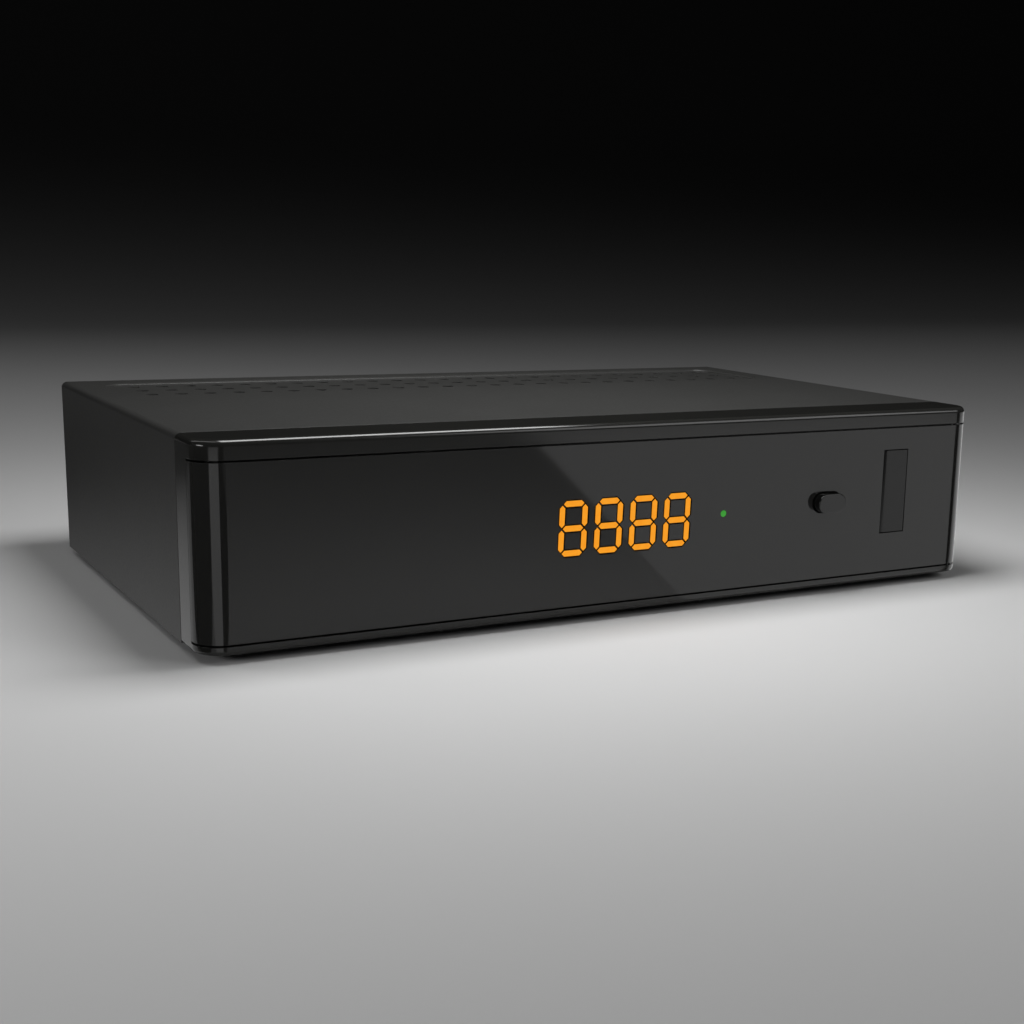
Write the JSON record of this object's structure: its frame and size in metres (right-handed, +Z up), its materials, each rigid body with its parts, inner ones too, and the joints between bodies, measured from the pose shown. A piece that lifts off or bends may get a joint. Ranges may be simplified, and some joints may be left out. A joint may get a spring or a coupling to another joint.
{
  "type": "satellite tv receiver",
  "caption": "Flat set-top satellite receiver: folded steel case, wrap-around gloss front with lit digits, standby button, hinged port cover and rear sockets.",
  "frame": {"origin": "on the surface it stands on, under the middle of the whole outline, from the button face to the end of the aerial socket", "axes": "+X to the right as seen from the front, +Y towards the rear sockets, +Z up"},
  "size_m": [0.168, 0.113, 0.0375],
  "materials": {
    "cover_paint": "fine satin dark grey paint",
    "tray_zinc": "bare zinc-coated sheet",
    "panel_paint": "satin black paint",
    "screw_black": "blackened steel",
    "screw_zinc": "zinc plated",
    "foot_rubber": "soft black rubber",
    "frame_plastic": "polished black moulding",
    "window_gloss": "polished smoked panel",
    "flap_plastic": "smooth black moulding",
    "button_plastic": "smooth black cap",
    "digit_light": "lit amber segments",
    "led_light": "lit green light guide",
    "led_resin": "tinted resin",
    "module_resin": "black display housing",
    "sensor_resin": "dark infrared-clear resin",
    "board_green": "green solder mask",
    "black_moulding": "black connector plastic",
    "white_moulding": "white connector plastic",
    "tinned_steel": "tin-plated sheet",
    "nickel": "nickel plating",
    "gold_contact": "gold-flashed contact",
    "phono_orange": "orange insulator",
    "chip_resin": "moulded chip package",
    "sink_aluminium": "extruded aluminium",
    "pad_silicone": "soft thermal pad",
    "cap_sleeve": "shrink sleeve",
    "ferrite": "ferrite block",
    "brass_pillar": "turned brass",
    "plunger_cream": "cream plunger"
  },
  "bodies": {
    "case": {"top_cover": "cover_paint", "bottom_chassis": "tray_zinc", "rear_panel": "panel_paint", "case_screws": "screw_black", "rubber_feet": "foot_rubber", "front_frame": "frame_plastic", "front_window": "window_gloss", "display_digits": "digit_light", "led_light_pipe": "led_light", "display_module": "module_resin", "power_led": "led_resin", "ir_receiver": "sensor_resin", "tact_switch": "black_moulding", "front_board": "board_green", "front_board_screws": "screw_zinc", "main_board": "board_green", "board_standoffs": "brass_pillar", "board_screws": "screw_zinc", "header_block": "black_moulding", "header_pins": "gold_contact", "port_shell": "tinned_steel", "port_insulator": "white_moulding", "port_contacts": "gold_contact", "tuner_fence": "tinned_steel", "tuner_lid": "tinned_steel", "tuner_chip": "chip_resin", "lnb_barrel": "nickel", "lnb_insulator": "white_moulding", "lnb_contact": "gold_contact", "lnb_washer": "nickel", "lnb_nut": "nickel", "picture_shell": "tinned_steel", "picture_insulator": "black_moulding", "picture_contacts": "gold_contact", "scart_body": "black_moulding", "scart_shield": "tinned_steel", "scart_contacts": "gold_contact", "phono_body": "black_moulding", "phono_barrel": "nickel", "phono_ring": "phono_orange", "phono_contact": "gold_contact", "dc_jack_body": "black_moulding", "dc_jack_pin": "nickel", "dc_jack_spring": "nickel", "main_chip": "chip_resin", "thermal_pad": "pad_silicone", "heatsink": "sink_aluminium", "memory_chip": "chip_resin", "flash_chip": "chip_resin", "capacitors": "cap_sleeve", "inductors": "ferrite", "regulators": "chip_resin", "crystal": "tinned_steel"},
    "button": {"standby_button": "button_plastic"},
    "switch_plunger": {"tact_plunger": "plunger_cream"},
    "flap": {"port_flap": "flap_plastic"}
  },
  "joints": [
    {"name": "button_press", "type": "slide", "parent": "case", "child": "button", "axis": [0, 1, 0], "range_m": [0, 0.0006], "stiffness_N_per_m": 1500},
    {"name": "plunger_press", "type": "slide", "parent": "case", "child": "switch_plunger", "axis": [0, 1, 0], "range_m": [0, 0.00025]},
    {"name": "flap_hinge", "type": "hinge", "parent": "case", "child": "flap", "pos_m": [0.06055, -0.0535, 0.0205], "axis": [0, 0, -1], "range_deg": [0, 90]}
  ],
  "couplings": [
    {"joint": "plunger_press", "follows": "button_press", "ratio": 0.41667}
  ]
}
